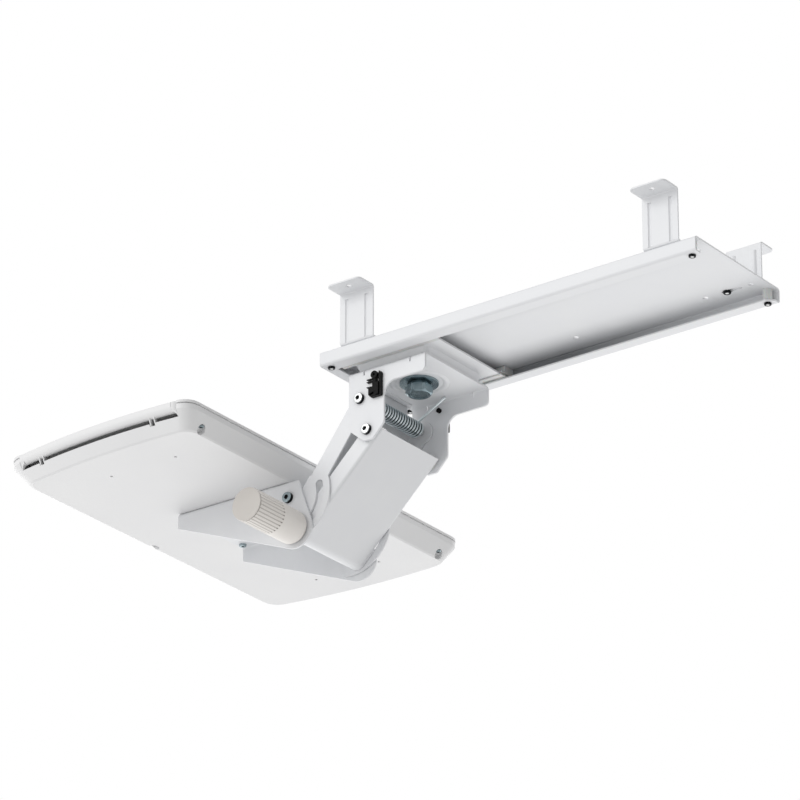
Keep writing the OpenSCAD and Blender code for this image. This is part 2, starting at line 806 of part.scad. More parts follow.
// Curved slot round the fin pivot, from the stud up to the end of the lift
module arc_slot() {
    a0 = stud_angle - 1;
    a1 = stud_angle + slot_travel + 1;
    r = pivot_d / 2 + slot_over / 2;
    half = r - 0.06;
    intersection() {
        difference() {
            circle(r = slot_r + half, $fn = 128);
            circle(r = slot_r - half, $fn = 128);
        }
        wedge(a0, a1, 1.4 * sector_r);
    }
    for (a = [a0, a1]) translate(slot_r * [cos(a), sin(a)]) circle(r = r);
}

// Upper link: two side plates joined by a web on the front
module upper_link() {
    x = upper_out - link_t / 2;
    n = strip_front - link_t / 2;
    web_l = link_l - 44;
    plate = [[-x, n - 9], [-x, n], [x, n], [x, n - 9]];
    color("#e2e3e5") difference() {
        union() {
            both_sides(upper_in, upper_out) difference() {
                upper_outline();
                translate(up_p) rotate(strip_angle) translate([-web_l - 4, strip_front - 7])
                    square([web_l, 30]);
            }
            translate([0, up_p[0], up_p[1]]) rotate([strip_angle, 0, 0]) difference() {
                along_y(-web_l - 4, -4) polygon(sheet(plate, bend, link_t));
                for (y = [-24, -72]) translate([-22, y, 0]) oblong(44, 12, 40);
            }
        }
        rod(-head_w, head_w, pivot_d / 2 + pivot_gap, up_p);
        rod(-head_w, head_w, pivot_d / 2 + pivot_gap, fin_p);
    }
}

// Thin nylon washers between the upper link and its neighbours
module upper_link_washers() {
    color("#f0f0ee") for (sx = [-1, 1], p = [up_p, fin_p]) difference() {
        rod(sx > 0 ? upper_out : -cheek_in + 0.1, sx > 0 ? cheek_in - 0.1 : -upper_out, 9, p);
        rod(-head_w, head_w, pivot_d / 2 + pivot_gap, p);
    }
}

// Lower link: a broad web turned round the clamp stud, and two flanges
module lower_link() {
    x = lower_out - link_t / 2;
    web = -web_rear + link_t / 2;
    plate = [[-x, flange_front], [-x, web], [x, web], [x, flange_front]];
    side = rounded(
        [[-link_l, -web_rear], [12.3, -web_rear], [12.3, flange_front], [-link_l, flange_front]],
        [0, 0, 8, 0]
    );
    color("#d3d5d7") translate([0, low_p[0], low_p[1]]) rotate([link_angle, 0, 0]) difference() {
        union() {
            intersection() {
                along_y(-link_l, 12.3) polygon(sheet(plate, bend, link_t));
                along_x(-head_w, head_w) polygon(side);
            }
            intersection() {
                both_sides(lower_in, lower_out) union() {
                    translate([-link_l, 0]) circle(r = web_rear);
                    translate([-link_l, -web_rear]) square([2 * web_rear, web_rear + flange_front]);
                }
                along_x(-head_w, head_w)
                    translate([-link_l - web_rear, -web_rear]) square([60, web_rear + flange_front]);
            }
            web_turn();
        }
        rod(-head_w, head_w, pivot_d / 2 + pivot_gap, [0, 0]);
        rod(-head_w, head_w, pivot_d / 2 + pivot_gap, [-link_l, 0]);
    }
}

// End of the web, rolled round the clamp stud
module web_turn() {
    along_x(-lower_out, lower_out) intersection() {
        translate([-link_l, 0]) difference() {
            circle(r = web_rear);
            circle(r = web_rear - link_t);
        }
        translate([-link_l, 0]) wedge(197, 270, 1.4 * web_rear);
    }
}

// Nylon spacers between the lower link and the cheeks and fins
module lower_link_spacers() {
    color("#f0f0ee") {
        for (sx = [-1, 1]) {
            difference() {
                rod(sx > 0 ? lower_out : -cheek_in + 0.1, sx > 0 ? cheek_in - 0.1 : -lower_out, 9, low_p);
                rod(-head_w, head_w, pivot_d / 2 + pivot_gap, low_p);
            }
            difference() {
                rod(sx > 0 ? lower_out : -upper_in + 0.1, sx > 0 ? upper_in - 0.1 : -lower_out, 9, stud_p);
                rod(-head_w, head_w, pivot_d / 2 + pivot_gap, stud_p);
            }
        }
        difference() {
            rod(-lower_in, lower_in, 7.5, stud_p);
            rod(-head_w, head_w, pivot_d / 2 + pivot_gap, stud_p);
        }
    }
}

// Side view of a fin: round about the stud, tapering towards the front of the tray
function fin_outline() =
    let (s = stud_p, top = tray_low, tip = [s[0] - fin_l, top - fin_tip_h], q = [s[0] + 2.8, top])
    let (back = tangent(s, fin_r, q, -1), low = tangent(s, fin_r, tip, 1))
    let (a = atan2(back[1] - s[1], back[0] - s[0]), b = atan2(low[1] - s[1], low[0] - s[0]))
    let (bow = arc(s, fin_r, a, b, 12))
    rounded(
        concat([[s[0] - fin_l, top], q], bow, [tip]),
        concat([0, 5], [for (p = bow) 0], [3])
    );

// Point where a line from q touches the circle round c
function tangent(c, r, q, s) =
    let (v = q - c, a = atan2(v[1], v[0]) + s * acos(r / norm(v)))
    c + r * [cos(a), sin(a)];

// Tray bracket: one folded sheet, a base plate under the tray with two fins
module tray_bracket() {
    x = fin_out - fin_t / 2;
    low = stud_p[1] - 40;
    plate = [[-x, low], [-x, tray_low - fin_t / 2], [x, tray_low - fin_t / 2], [x, low]];
    base_y1 = rear_y - rear_draft - 3;
    color("#dddee0") difference() {
        intersection() {
            along_y(stud_p[0] - fin_l - 1, stud_p[0] + 60) polygon(sheet(plate, 4, fin_t));
            along_x(-head_w, head_w) polygon(fin_outline());
        }
        translate([-cheek_in, base_y1, tray_low - fin_t - 3]) cube([2 * cheek_in, 80, 10]);
        for (p = [fin_p, stud_p]) rod(-head_w, head_w, pivot_d / 2 + face, p);
        for (p = bracket_screw_points()) {
            translate([p[0], p[1], tray_low - fin_t - 1]) cylinder(h = fin_t + 2, r = 2.5 + face);
        }
        translate([0, base_y1 - 70, tray_low - fin_t - 1]) cylinder(h = fin_t + 2, r = 14);
    }
}

function bracket_screw_points() = [
    for (sx = [-1, 1], y = [stud_p[0] - fin_l + 8, stud_p[0] - 36]) [sx * bracket_screw_x, y]
];

module tray_bracket_screws() {
    color("#8d9a9d") for (p = bracket_screw_points()) {
        translate([p[0], p[1], tray_low]) difference() {
            union() {
                translate([0, 0, -fin_t - 3]) cylinder(h = 3, r = 4.6);
                translate([0, 0, -fin_t]) cylinder(h = fin_t + wall + 8, r = 2.5);
            }
            translate([0, 0, -fin_t - 4]) cylinder(h = 2.4, r = 1.9, $fn = 6);
        }
    }
}

module fin_pivot_bolt() {
    color("#d5d8da") bolt(fin_out, -fin_out - nut_h - 2, fin_p);
}

// Stud that clamps the fins on the sector, its round head on the left fin
module clamp_stud() {
    color("#8d9a9d") union() {
        rod(-fin_out - 3.2, -fin_out, 9, stud_p);
        rod(-fin_out, knob_x0 + insert_l - 4, pivot_d / 2, stud_p);
    }
}

module tray_nuts() {
    color("#8d9a9d") lock_nut(-fin_out, fin_p);
}

// Half width of the tray at y, for a given width at its middle
function bow(w, y) = w / 2 - side_r + sqrt(side_r * side_r - (y - bow_y) * (y - bow_y));

// Plan of the tray: bowed sides, straight front and rear, four round corners
function plan(w, y0, y1, rf, rr) =
    let (n = 14, ys = [for (i = [0 : n]) y0 + (y1 - y0) * i / n])
    rounded(
        concat([for (y = ys) [bow(w, y), y]], [for (i = [n : -1 : 0]) [-bow(w, ys[i]), ys[i]]]),
        [for (i = [0 : 2 * n + 1]) i == 0 || i == 2 * n + 1 ? rf : (i == n || i == n + 1 ? rr : 0)],
        10
    );

module plan_slab(inset, z, h) {
    k = inset / tray_h;
    translate([0, 0, z]) linear_extrude(h)
        polygon(plan(tray_w - 2 * inset, front_y + inset * front_draft / side_draft,
            rear_y - inset * rear_draft / side_draft, 24 - 4 * k, 20 - 4 * k));
}

// Outside of the shell: a short upright band, then walls drawn in towards the bottom
module shell_outside() {
    hull() {
        plan_slab(band_inset, shell_top - band_h, band_h);
        plan_slab(side_draft - 2, tray_low + 4.5, 0.1);
        plan_slab(side_draft - 0.6, tray_low + 1.6, 0.1);
        plan_slab(side_draft + 2.4, tray_low, 0.1);
    }
}

module shell_inside() {
    hull() {
        plan_slab(wall + 1.2, shell_top - band_h, band_h + 1);
        plan_slab(side_draft + wall - 1, tray_low + wall + 2, 0.1);
        plan_slab(side_draft + wall + 2, tray_low + wall, 0.1);
    }
}

// Tub of the tray: walls, floor, screw bosses with their wells, and the mouths of the side slots
module tray_shell() {
    color("#e8e8e9") difference() {
        shell_outside();
        difference() {
            shell_inside();
            for (p = well_points()) translate([p[0], p[1], tray_low]) cylinder(h = tray_h, r = well_r + 3.4);
            for (p = bracket_screw_points()) translate([p[0], p[1], tray_low]) cylinder(h = 16, r = 7);
        }
        for (sx = [-1, 1]) {
            translate([sx * well_x, well_y + 1, tray_low + well_z]) rotate([45, 0, 0])
                translate([0, 0, -14]) cylinder(h = 20, r = well_r);
            translate([sx * well_x, well_y, tray_low]) cylinder(h = screw_z, r = 3.4);
        }
        translate([0, mid_well_y, tray_low - 1]) cylinder(h = screw_z + 1, r = well_r + 1.4);
        for (p = well_points()) translate([p[0], p[1], tray_low]) cylinder(h = tray_h, r = 2 + face);
        for (p = bracket_screw_points()) {
            translate([p[0], p[1], tray_low - 1]) cylinder(h = wall + 9.2, r = 2.5 + face);
        }
        for (sx = [-1, 1], y = [rear_y - 78, rear_y - 180]) {
            translate([sx * hole_x, y, tray_low - 1]) cylinder(h = wall + 2, r = 1.8);
        }
        for (sx = [-1, 1]) side_mouth(sx);
    }
}

function well_points() = [[well_x, well_y], [-well_x, well_y], [0, mid_well_y]];

// Opening in the side wall, from the top of the lower wall up to the board, with two seats for the posts
module side_mouth(sx) {
    x0 = bow(tray_w, rail_y0) - rail_t - 14;
    mirror([sx < 0 ? 1 : 0, 0, 0]) {
        translate([x0, rail_y0, slot_low]) cube([80, rail_y1 - rail_y0, tray_h]);
        for (y = post_ys()) translate([x0, y - post_w / 2, slot_low - seat_h]) cube([80, post_w, tray_h]);
    }
}

// Top board, its edge stepped in below to leave the groove
module tray_top_board() {
    color("#ededee") difference() {
        union() {
            plan_slab(0, rim - board_t, board_t);
            plan_slab(3, shell_top, groove_h);
        }
        for (sx = [-1, 1]) mirror([sx < 0 ? 1 : 0, 0, 0]) difference() {
            translate([bow(tray_w, rail_y0) - rail_t - 20, rail_y0 - face, shell_top - 1])
                cube([60, rail_y1 - rail_y0 + 2 * face, board_t + groove_h + 2]);
            translate([bow_x, bow_y, shell_top - 2])
                cylinder(h = board_t + groove_h + 4, r = side_r - rail_t - face, $fn = 360);
        }
    }
}

// Side rail: a bowed bar along the tray's edge, on posts over the slot, drawn down at its ends
module side_rail(sx) {
    r = rail_t - 1.5;
    color("#ececed") mirror([sx < 0 ? 1 : 0, 0, 0]) difference() {
        union() {
            intersection() {
                translate([bow_x, bow_y, slot_top]) rotate_extrude($fn = 360)
                    polygon(rounded(
                        [[side_r - rail_t, 0], [side_r, 0], [side_r, rail_h], [side_r - rail_t, rail_h]],
                        [0.6, r, 1.6, 0.2], 8
                    ));
                translate([0, rail_y0, slot_top - 1]) cube([tray_w, rail_y1 - rail_y0, rail_h + 2]);
            }
            for (y = post_ys(), s = [-1, 1]) post_rib(y + s * (post_w / 2 - post_t / 2 - 0.3));
            slot_end(rail_y1, -1);
            slot_end(rail_y0, 1);
        }
        rail_end(rail_y1);
    }
}

function post_ys() = [rail_y1 - 40, rail_y0 + 36];

// One thin rib of a post, its outer edge drawn in from the rail to the seat in the wall
module post_rib(y) {
    x = bow(tray_w, y);
    low = slot_low - seat_h;
    out = wall_inset(low);
    along_y(y - post_t / 2, y + post_t / 2) polygon([
        [x - out - 2.2, low], [x - out - 0.3, low], [x - rail_t / 3, slot_top + 2.5],
        [x - rail_t + 1, slot_top + 2.5], [x - out - 2.2, slot_low + 1]
    ]);
}

// Distance of the shell's outer side from the rim's outline at height z
function wall_inset(z) =
    let (z0 = tray_low + 4.5, z1 = shell_top - band_h)
    band_inset + (side_draft - 2 - band_inset) * (z1 - z) / (z1 - z0);

// Web that closes an end of the slot with a hollow curve, drawn in as the shell is
module slot_end(y, s) {
    r = slot_h + 1;
    inner = side_r - rail_t + 0.5;
    intersection() {
        translate([bow_x, bow_y, 0]) rotate_extrude($fn = 360) polygon([
            [inner, slot_low], [side_r - wall_inset(slot_low), slot_low],
            [side_r - 1, slot_top + 3], [inner, slot_top + 3]
        ]);
        along_x(0, tray_w) difference() {
            translate([s > 0 ? y : y - r, slot_low]) square([r, slot_h + 5]);
            translate([y + s * (r + 1.2), slot_top + 0.4 - r]) circle(r = r);
        }
    }
}

// Rounds the outer corner at an end of the rail
module rail_end(y) {
    r = rail_t - 1;
    x = bow(tray_w, y) - r;
    difference() {
        translate([x, y - r, slot_low - 1]) cube([r + 6, r + 1, rail_h + slot_h + 3]);
        translate([x, y - r, slot_low - 2]) cylinder(h = rail_h + slot_h + 5, r = r);
    }
}

module side_rail_right() { side_rail(1); }
module side_rail_left() { side_rail(-1); }

// Screws in the wells, up into the top board
module corner_screws() {
    color("#55595c") for (p = well_points()) translate([p[0], p[1], tray_low + screw_z]) difference() {
        union() {
            translate([0, 0, -2.4]) cylinder(h = 2.4, r = 3.2);
            cylinder(h = shell_top - tray_low - screw_z, r = 2);
        }
        translate([0, 0, -3.4]) cylinder(h = 2.2, r = 1.5, $fn = 6);
    }
}

// Clamp knob: smooth neck at the fin, fluted grip, and a spigot for the cap
module height_knob() {
    r = knob_d / 2;
    grip_l = knob_l - cap_t - cap_gap;
    color("#cfcac4") difference() {
        translate([knob_x0, stud_p[0], stud_p[1]]) rotate([0, 90, 0]) rotate_extrude($fn = 96)
            polygon(rounded(
                [
                    [0, 0], [r - 2.5, 0], [r, 5], [r, grip_l], [r - 2, grip_l],
                    [r - 2, knob_l - cap_t], [0, knob_l - cap_t]
                ],
                [0, 1.5, 3, 0.5, 0, 0, 0], 5
            ));
        for (k = [0 : flutes - 1]) {
            a = 360 * k / flutes;
            q = stud_p + (r + 0.3) * [cos(a), sin(a)];
            rod(knob_x0 + knob_l - flute_l, knob_x0 + knob_l + 1, flute_r, q);
        }
        rod(knob_x0 - 1, knob_x0 + insert_l, insert_r + face, stud_p);
    }
}

// Cap that closes the end of the knob
module knob_cap() {
    r = knob_d / 2 - 0.2;
    color("#d4cfc9") translate([knob_x0 + knob_l - cap_t, stud_p[0], stud_p[1]]) rotate([0, 90, 0])
        rotate_extrude($fn = 96)
            polygon(rounded([[0, 0], [r, 0], [r, cap_t], [0, cap_t]], [0, 0.2, 0.7, 0], 4));
}

module knob_insert() {
    color("#c8a860") difference() {
        rod(knob_x0 + 1, knob_x0 + insert_l, insert_r, stud_p);
        rod(knob_x0, knob_x0 + insert_l + 2, pivot_d / 2 + pivot_gap, stud_p);
    }
}

module knob_washer() {
    color("#8d9a9d") difference() {
        rod(fin_out, knob_x0 - run, 9, stud_p);
        rod(fin_out - 1, knob_x0 + 1, pivot_d / 2 + face, stud_p);
    }
}

track_channel();
bracket_front_right();
bracket_front_left();
bracket_rear_right();
bracket_rear_left();
foot_screws();
foot_nuts();
stop_bumpers();
stop_screws();
carriage_plate();
glide_right();
glide_left();
swivel_bearing();
swivel_bolt();
swivel_nut();
swivel_washer();
head_bracket();
upper_pivot_bolt();
lower_pivot_bolt();
pivot_nuts();
spring_sleeve();
torsion_spring();
cable_clip_right();
cable_clip_left();
upper_link();
upper_link_washers();
lower_link();
lower_link_spacers();
tray_bracket();
tray_bracket_screws();
fin_pivot_bolt();
clamp_stud();
tray_nuts();
tray_shell();
tray_top_board();
side_rail_right();
side_rail_left();
corner_screws();
height_knob();
knob_cap();
knob_insert();
knob_washer();
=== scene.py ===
# A keyboard tray that hangs under a desk, seen from below and behind, as it is put together:
# the track on its brackets, the carriage, the head, the arm, the tray and the knob.
import math

import bmesh
import bpy
from mathutils import Matrix, Vector


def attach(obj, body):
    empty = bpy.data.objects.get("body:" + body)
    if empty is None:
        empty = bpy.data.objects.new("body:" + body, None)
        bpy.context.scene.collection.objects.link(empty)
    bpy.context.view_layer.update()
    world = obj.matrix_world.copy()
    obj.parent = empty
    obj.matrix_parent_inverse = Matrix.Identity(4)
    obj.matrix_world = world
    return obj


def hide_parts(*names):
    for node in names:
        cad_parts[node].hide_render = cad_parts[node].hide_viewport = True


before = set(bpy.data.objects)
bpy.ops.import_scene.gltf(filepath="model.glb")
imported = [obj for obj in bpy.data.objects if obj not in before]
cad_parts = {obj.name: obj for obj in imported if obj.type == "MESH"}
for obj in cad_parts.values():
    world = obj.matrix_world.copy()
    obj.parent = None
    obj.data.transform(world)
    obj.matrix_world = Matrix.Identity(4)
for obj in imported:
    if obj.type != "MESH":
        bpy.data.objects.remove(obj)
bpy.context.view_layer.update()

# The camera: a long lens below and behind the tray, on the user's right, fitted to the object's straight edges.
# The frame is the photograph's square one, so neither shift nor depth of field is used.
camera_data = bpy.data.cameras.new("camera")
camera_data.lens = 233.24
camera_data.sensor_width = 36
camera_data.clip_end = 400
camera = bpy.data.objects.new("camera", camera_data)
bpy.context.scene.collection.objects.link(camera)
look = Vector((-0.7333, -0.5414, 0.4114))
camera.location = (4.7535, 3.2812, -2.7845)
camera.rotation_euler = look.to_track_quat("-Z", "Y").to_euler()
bpy.context.scene.camera = camera

# The studio: a white surround, brightest on the tray's far side, two softboxes and a pale floor.
# The floor lies far below, out of the camera's way, and throws no light back up into the track.
floor_z, floor_size = -6.5, 240
world = bpy.data.worlds.new("studio")
bpy.context.scene.world = world
world.use_nodes = True


def add_node(tree, kind, inputs=None, **settings):
    """Adds one node, sets its properties, and sets or links its inputs."""
    made = tree.nodes.new(kind)
    for key, value in settings.items():
        setattr(made, key, value)
    for key, value in (inputs or {}).items():
        if isinstance(value, bpy.types.NodeSocket):
            tree.links.new(value, made.inputs[key])
        else:
            made.inputs[key].default_value = value
    return made


def from_hex(text):
    """Turns an sRGB hex colour into the linear one that a shader takes."""
    parts = [int(text[i:i + 2], 16) / 255 for i in (1, 3, 5)]
    return [c / 12.92 if c <= 0.04045 else ((c + 0.055) / 1.055) ** 2.4 for c in parts] + [1]


sky = world.node_tree
sky.nodes.clear()
toward = add_node(sky, "ShaderNodeTexCoord").outputs["Generated"]
# How bright the surround is towards the far side, the near side, the front, below and above
reach = ((-1.36, 0, 0), (0.69, 0, 0), (0, -0.54, 0), (0, 0, -0.63), (0, 0, 0.5))
level = add_node(sky, "ShaderNodeMath", {0: 0.0, 1: 0.0}, operation="ADD")
for way in reach:
    facing = add_node(sky, "ShaderNodeVectorMath", {0: toward, 1: way}, operation="DOT_PRODUCT")
    lit = add_node(sky, "ShaderNodeMath", {0: facing.outputs["Value"], 1: 0.0}, operation="MAXIMUM")
    level = add_node(sky, "ShaderNodeMath", {0: level.outputs[0], 1: lit.outputs[0]}, operation="ADD")
white = from_hex("#ffffff")
surround = add_node(sky, "ShaderNodeBackground", {"Color": white, "Strength": level.outputs[0]})
backdrop = add_node(sky, "ShaderNodeBackground", {"Color": white, "Strength": 1.0})
ray = add_node(sky, "ShaderNodeLightPath")
either = add_node(sky, "ShaderNodeMixShader", {
    0: ray.outputs["Is Camera Ray"], 1: surround.outputs[0], 2: backdrop.outputs[0]})
add_node(sky, "ShaderNodeOutputWorld", {"Surface": either.outputs[0]})
bpy.context.scene.view_settings.view_transform = "Standard"


def softbox(name, place, aim, size, power):
    """A soft square lamp at a place, turned to a point."""
    data = bpy.data.lights.new(name, "AREA")
    data.size = size
    data.energy = power
    lamp = bpy.data.objects.new(name, data)
    bpy.context.scene.collection.objects.link(lamp)
    lamp.location = place
    lamp.rotation_euler = (Vector(aim) - Vector(place)).to_track_quat("-Z", "Y").to_euler()
    lamp.visible_camera = False


middle = (0, -0.2, -0.15)
softbox("softbox_front", (-3, -7, -1.5), aim=middle, size=4, power=70)
softbox("softbox_right", (7, -2.6, 2.4), aim=middle, size=4, power=150)

bpy.ops.mesh.primitive_plane_add(size=floor_size, location=(0, 0, floor_z))
floor = bpy.context.object
floor.name = "floor"
floor.visible_diffuse = False
floor.visible_glossy = False
# Background paper: matt and nearly white, with a faint cloud of pulp half a metre across.
paper = bpy.data.materials.new("floor_paper")
paper.use_nodes = True
paper_shader = paper.node_tree.nodes["Principled BSDF"]
paper_shader.inputs["Roughness"].default_value = 0.9
paper_place = add_node(paper.node_tree, "ShaderNodeTexCoord").outputs["Object"]
pulp = add_node(paper.node_tree, "ShaderNodeTexNoise", {"Vector": paper_place, "Scale": 2.0, "Detail": 3.0})
shade = add_node(paper.node_tree, "ShaderNodeMixRGB", {
    0: pulp.outputs["Fac"], 1: from_hex("#f8f8f8"), 2: from_hex("#fbfbfb")})
paper.node_tree.links.new(shade.outputs[0], paper_shader.inputs["Base Color"])
floor.data.materials.append(paper)

# The track: one folded channel of sheet steel with two lips turned in under it, and a lip across its front end.
# It is powder coated after folding, as are its four brackets, Z-shaped with two pressed grooves in each leg.
mm = 0.001


def new_material(name, metallic, roughness):
    """A material with its shader's constants set, and its tree, shader and object coordinates."""
    made = bpy.data.materials.new(name)
    made.use_nodes = True
    shader = made.node_tree.nodes["Principled BSDF"]
    shader.inputs["Metallic"].default_value = metallic
    shader.inputs["Roughness"].default_value = roughness
    place = add_node(made.node_tree, "ShaderNodeTexCoord").outputs["Object"]
    return made, made.node_tree, shader, place


def join_up(tree, shader, colour, roughness=None, normal=None):
    """Links a pattern's results to the shader."""
    for socket, value in (("Base Color", colour), ("Roughness", roughness), ("Normal", normal)):
        if value is not None:
            tree.links.new(value.outputs[0], shader.inputs[socket])


def paint(names, material):
    """Gives CAD nodes their finish."""
    for name in names:
        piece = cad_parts[name]
        piece.data.materials.clear()
        piece.data.materials.append(material)


# Powder-coated steel: baked powder flows out to a satin skin, and rounds the sharp edges it draws back from.
# Its orange peel is about 1 mm from crest to crest, and is drawn at 3 mm, the finest that shows from this far.
# Its shade drifts over some 60 mm, as the gun passed.
powder, tree, shader, place = new_material("powder_coated_steel", 0.0, 0.42)
shader.inputs["IOR"].default_value = 1.52
clouds = add_node(tree, "ShaderNodeTexNoise", {"Vector": place, "Scale": 1 / (60 * mm), "Detail": 2.0})
film = add_node(tree, "ShaderNodeMixRGB", {
    0: clouds.outputs["Fac"], 1: from_hex("#e2e3e6"), 2: from_hex("#ebeced")})
peel = add_node(tree, "ShaderNodeTexNoise", {"Vector": place, "Scale": 1 / (3 * mm), "Detail": 1.0})
rounded = add_node(tree, "ShaderNodeBevel", {"Radius": 0.5 * mm}, samples=4)
skin = add_node(tree, "ShaderNodeBump", {
    "Strength": 0.12, "Distance": 0.1 * mm, "Height": peel.outputs["Fac"], "Normal": rounded.outputs[0]})
satin = add_node(tree, "ShaderNodeMapRange", {
    "Value": clouds.outputs["Fac"], "From Min": 0.3, "From Max": 0.7, "To Min": 0.38, "To Max": 0.48})
join_up(tree, shader, film, satin, skin)
paint(["bracket_front_right", "bracket_front_left", "bracket_rear_right", "bracket_rear_left"], powder)

# Painted shade in the track: the same coat, with a dark grey painted over its inside where shadow falls.
# It is darkest on the side walls and towards the front, where the carriage runs most; the outside keeps the plain
# coat.
wall_in, lip_in, web_in = 92 * mm, -89.5 * mm, -72.5 * mm
shade_gone_y, shade_full_y = 240 * mm, -40 * mm
track_shade_coat = powder.copy()
track_shade_coat.name = "powder_coat_with_painted_shade"
tree = track_shade_coat.node_tree
shader = tree.nodes["Principled BSDF"]
coat = shader.inputs["Base Color"].links[0].from_socket
place = add_node(tree, "ShaderNodeTexCoord").outputs["Object"]
parts = add_node(tree, "ShaderNodeSeparateXYZ", {0: place})
sideways = add_node(tree, "ShaderNodeMath", {0: parts.outputs["X"]}, operation="ABSOLUTE")
web_shade = add_node(tree, "ShaderNodeMapRange", {
    "Value": sideways.outputs[0], "From Min": 34 * mm, "From Max": 80 * mm, "To Max": 0.42})
wall_shade = add_node(tree, "ShaderNodeMapRange", {
    "Value": sideways.outputs[0], "From Min": 87 * mm, "From Max": 90 * mm, "To Max": 0.58})
painted_shade_amount = add_node(tree, "ShaderNodeMath", {0: web_shade.outputs[0], 1: wall_shade.outputs[0]}, operation="ADD")
# It fades to the rear, and stops short of the walls' outer faces, the lips' undersides and the web's top.
for reading, unshaded, shaded in (
        (parts.outputs["Y"], shade_gone_y, shade_full_y),
        (sideways.outputs[0], wall_in + 0.2 * mm, wall_in - 0.2 * mm),
        (parts.outputs["Z"], lip_in - 0.1 * mm, lip_in + 0.1 * mm),
        (parts.outputs["Z"], web_in + 0.1 * mm, web_in - 0.1 * mm)):
    kept = add_node(tree, "ShaderNodeMapRange", {"Value": reading, "From Min": unshaded, "From Max": shaded})
    painted_shade_amount = add_node(tree, "ShaderNodeMath", {0: painted_shade_amount.outputs[0], 1: kept.outputs[0]}, operation="MULTIPLY")
# The grey of the painted shade.
film = add_node(tree, "ShaderNodeMixRGB", {0: painted_shade_amount.outputs[0], 1: coat, 2: from_hex("#8c8e91")})
join_up(tree, shader, film)
paint(["track_channel"], track_shade_coat)

# The bracket screws: low-head M6 socket screws up through the track and the brackets' feet, with hexagon nuts.
# The screws are cold-headed steel, black oxide, with a near-white highlight painted into their sockets.
# The nuts are zinc plated.


def select_only(*pieces):
    """Selects just these pieces, and makes the last one active."""
    bpy.ops.object.select_all(action="DESELECT")
    for piece in pieces:
        piece.select_set(True)
        bpy.context.view_layer.objects.active = piece


def add_round(sides, radius, depth, z, open_as=None):
    """Adds a cylinder or prism about the z axis; one with a name is opened for editing, with nothing selected."""
    bpy.ops.object.select_all(action="DESELECT")
    bpy.ops.mesh.primitive_cylinder_add(vertices=sides, radius=radius, depth=depth, location=(0, 0, z))
    piece = bpy.context.object
    bpy.ops.object.transform_apply(location=True, rotation=True, scale=True)
    if open_as:
        piece.name = open_as
        bpy.ops.object.mode_set(mode="EDIT")
        bpy.ops.mesh.select_mode(type="FACE")
        bpy.ops.mesh.select_all(action="DESELECT")
    return piece


def pick_faces(piece, wanted):
    """In edit mode, selects just the faces that pass a test of their normals."""
    mesh = bmesh.from_edit_mesh(piece.data)
    for face in mesh.faces:
        face.select_set(False)
    for face in mesh.faces:
        if wanted(face.normal):
            face.select_set(True)
    mesh.select_flush_mode()
    bmesh.update_edit_mesh(piece.data)


def give(piece, *finishes):
    """Gives a piece its finishes, in the order of its faces' numbers."""
    for finish in finishes:
        piece.data.materials.append(finish)


def carve(piece, cutter, operation):
    """Cuts one piece with another, and removes the cutter."""
    cut = piece.modifiers.new("cut", "BOOLEAN")
    cut.operation = operation
    cut.object = cutter
    cut.solver = "EXACT"
    select_only(piece)
    bpy.ops.object.modifier_apply(modifier=cut.name)
    bpy.data.objects.remove(cutter)


# A face lies flat where its normal's z is past the first number, and stands upright where it is under the second
flat, upright = 0.9, 0.3
crease = math.radians(35)


def socket_screw(name, plating, recess, rim, head_r, head_h, key_r, key_depth, shank_r, shank_l):
    """A low-head socket screw: its head hangs below z = 0, and its shank stands above; rim is the head's side."""
    point_l, point_taper, edge_round = 0.15 * shank_r, 0.85, 0.28 * head_h
    screw = add_round(48, head_r, head_h, -head_h / 2, open_as=name)
    pick_faces(screw, lambda normal: normal.z > flat)
    bpy.ops.mesh.inset(thickness=head_r - shank_r)
    bpy.ops.mesh.extrude_region_move(TRANSFORM_OT_translate={"value": (0, 0, shank_l - point_l)})
    bpy.ops.mesh.extrude_region_move(TRANSFORM_OT_translate={"value": (0, 0, point_l)})
    bpy.ops.transform.resize(value=(point_taper, point_taper, 1))
    pick_faces(screw, lambda normal: normal.z < -flat)
    bpy.ops.mesh.bevel(offset=edge_round, segments=4, profile=0.5, affect="EDGES")
    bpy.ops.object.mode_set(mode="OBJECT")
    give(screw, plating, recess, rim)
    for face in screw.data.polygons:
        if abs(face.normal.z) < upright and face.center.z < 0:
            face.material_index = 2
    key = add_round(6, key_r, 2 * key_depth, -head_h)
    give(key, plating, recess, rim)
    for face in key.data.polygons:
        face.material_index = 1
    carve(screw, key, "DIFFERENCE")
    bpy.ops.object.shade_smooth_by_angle(angle=crease)
    return screw


def set_out(template, places, name, body, node):
    """Sets copies of a piece at places, as one object that stands for a CAD node, and removes the template."""
    twins = []
    for place in places:
        twin = template.copy()
        twin.data = template.data.copy()
        bpy.context.scene.collection.objects.link(twin)
        twin.matrix_world = place
        twins.append(twin)
    select_only(*twins)
    if len(twins) > 1:
        bpy.ops.object.join()
    bpy.ops.object.transform_apply(location=True, rotation=True, scale=True)
    whole = bpy.context.object
    whole.name = name
    bpy.data.objects.remove(template)
    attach(whole, body)
    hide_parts(node)


# Black oxide: steel blackened in a hot bath and oiled, so it shows only a thin dark gloss.
black_oxide, tree, shader, place = new_material("black_oxide", 1.0, 0.35)
bath = add_node(tree, "ShaderNodeTexNoise", {"Vector": place, "Scale": 1 / (2 * mm), "Detail": 2.0})
film = add_node(tree, "ShaderNodeMixRGB", {
    0: bath.outputs["Fac"], 1: from_hex("#0d0e10"), 2: from_hex("#26282b")})
gloss = add_node(tree, "ShaderNodeMapRange", {"Value": bath.outputs["Fac"], "To Min": 0.25, "To Max": 0.5})
join_up(tree, shader, film, gloss)
